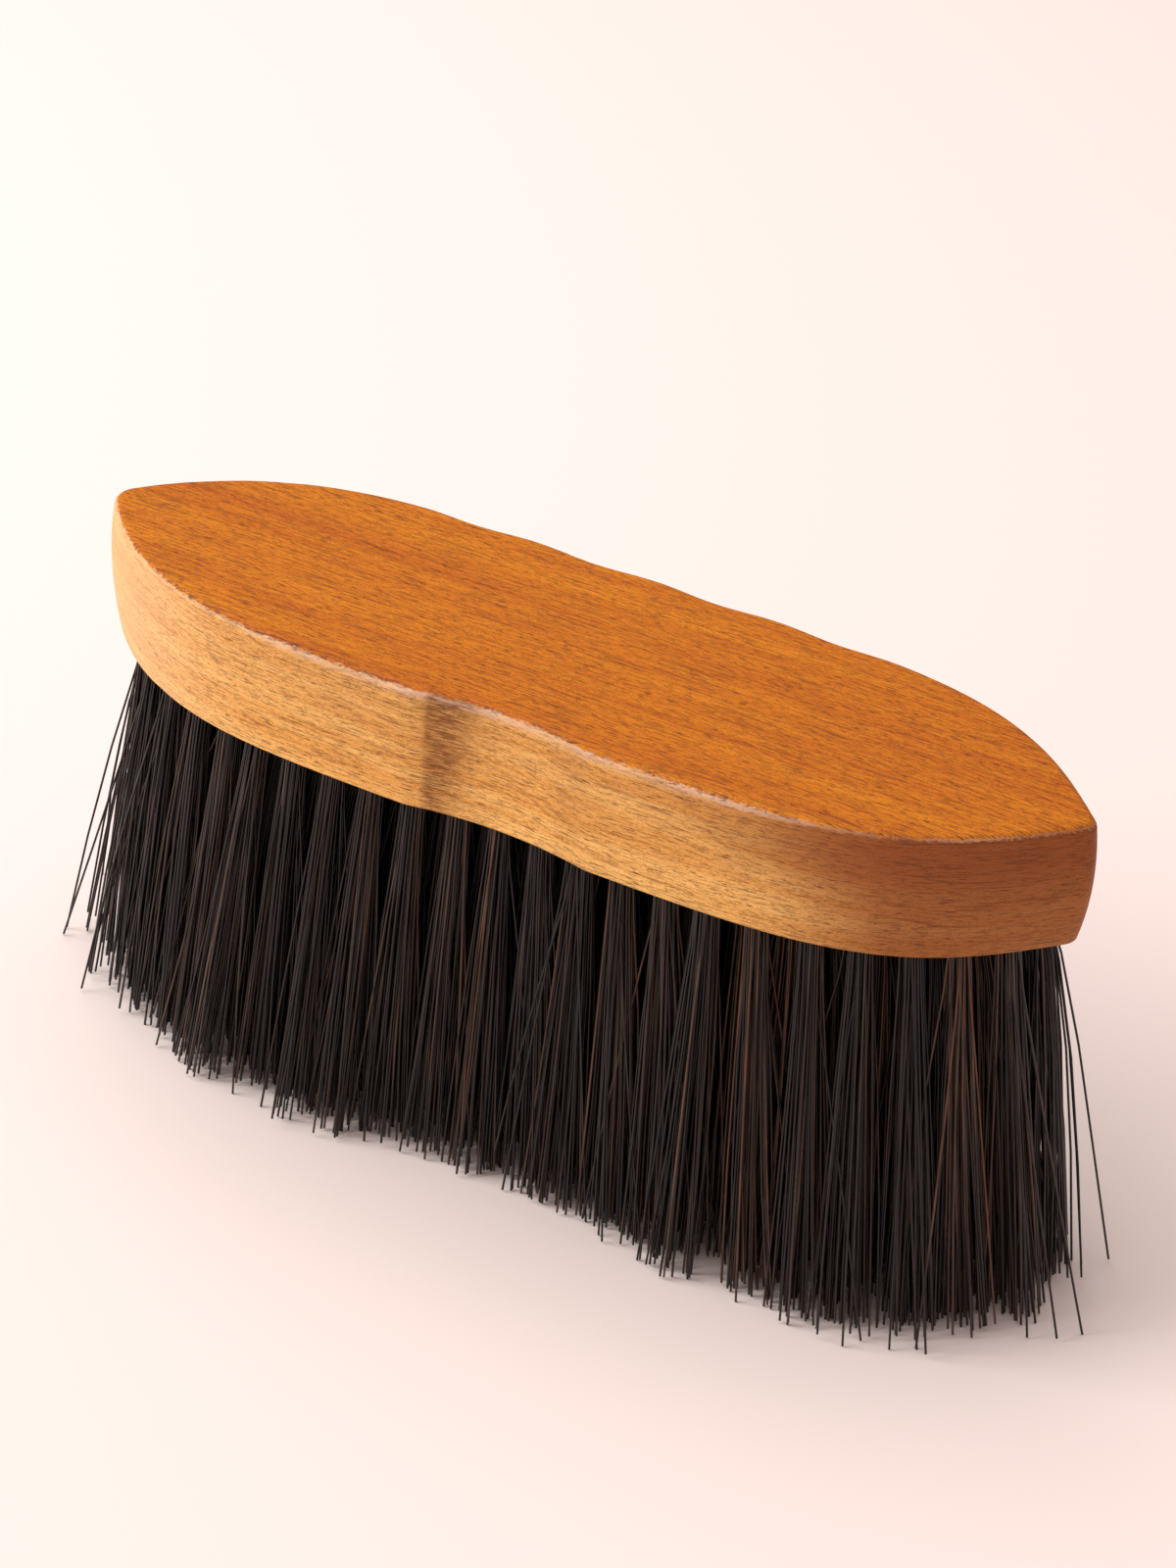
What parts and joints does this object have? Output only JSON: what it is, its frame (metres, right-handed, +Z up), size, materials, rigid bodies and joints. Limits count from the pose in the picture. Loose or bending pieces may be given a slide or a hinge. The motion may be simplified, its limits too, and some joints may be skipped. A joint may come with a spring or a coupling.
{
  "type": "bristle brush",
  "caption": "Hand-held grooming brush: a waisted hardwood block with a thumb hollow and finger scallops, set with fanned tufts of long stiff bristle.",
  "frame": {"origin": "on the resting surface under the middle of the brush, at the level of the bristle tips", "axes": "+X along the block, +Z up from the bristle tips to the flat back of the block, -Y the side with the thumb hollow, +Y the side with the finger scallops"},
  "size_m": [0.2128, 0.0715, 0.1025],
  "materials": {
    "stained_wood": "satin, orange-brown stain on the back and lighter honey-coloured sides with fine straight grain",
    "bristle": "very dark brown-black stiff filament, soft shine along its length",
    "anchor_wire": "bright flat drawn wire"
  },
  "bodies": {
    "root": {"block": "stained_wood", "tuft_rank_01": "bristle", "tuft_rank_02": "bristle", "tuft_rank_03": "bristle", "tuft_rank_04": "bristle", "tuft_rank_05": "bristle", "tuft_rank_06": "bristle", "tuft_rank_07": "bristle", "tuft_rank_08": "bristle", "tuft_rank_09": "bristle", "tuft_rank_10": "bristle", "tuft_rank_11": "bristle", "tuft_rank_12": "bristle", "tuft_rank_13": "bristle", "tuft_rank_14": "bristle", "tuft_rank_15": "bristle", "tuft_rank_16": "bristle", "tuft_rank_17": "bristle", "tuft_rank_18": "bristle", "tuft_rank_19": "bristle", "tuft_rank_20": "bristle", "tuft_rank_21": "bristle", "tuft_rank_22": "bristle", "tuft_rank_23": "bristle"}
  },
  "joints": []
}
